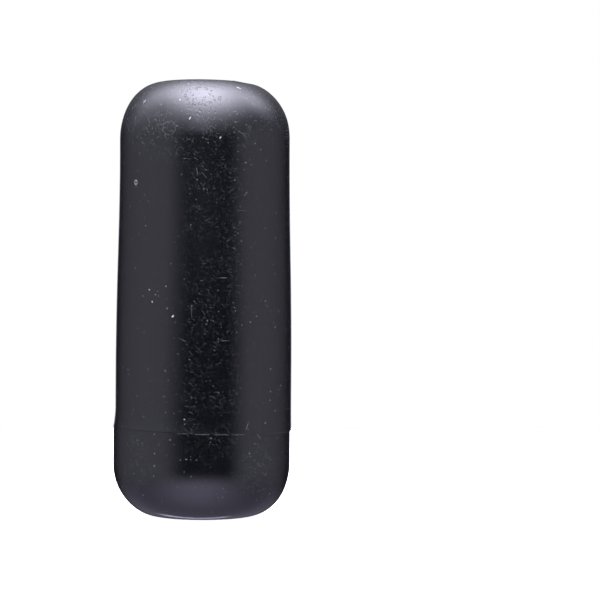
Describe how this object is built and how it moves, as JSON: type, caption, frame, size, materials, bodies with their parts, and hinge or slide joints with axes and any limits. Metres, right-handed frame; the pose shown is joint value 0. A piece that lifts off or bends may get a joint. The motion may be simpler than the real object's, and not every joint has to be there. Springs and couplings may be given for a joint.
{
  "type": "slip-on sleeve grip",
  "caption": "Short black hand grip sleeve with rounded ends and a round hole right through it for a shaft.",
  "frame": {"origin": "centre of the end face that the grip stands on, the end nearer the seam", "axes": "+Z along the bore, from the cap end to the other end; X and Y are equal, as the grip is round"},
  "size_m": [0.0384, 0.0384, 0.093],
  "materials": {
    "shell": "satin, dusty",
    "tube": "extruded",
    "foam": "closed-cell foam",
    "cement": "set cement, scuffed"
  },
  "bodies": {
    "root": {"body_shell": "shell", "end_cap": "shell", "core_tube": "tube", "foam_core": "foam", "cement_bead": "cement"}
  },
  "joints": []
}
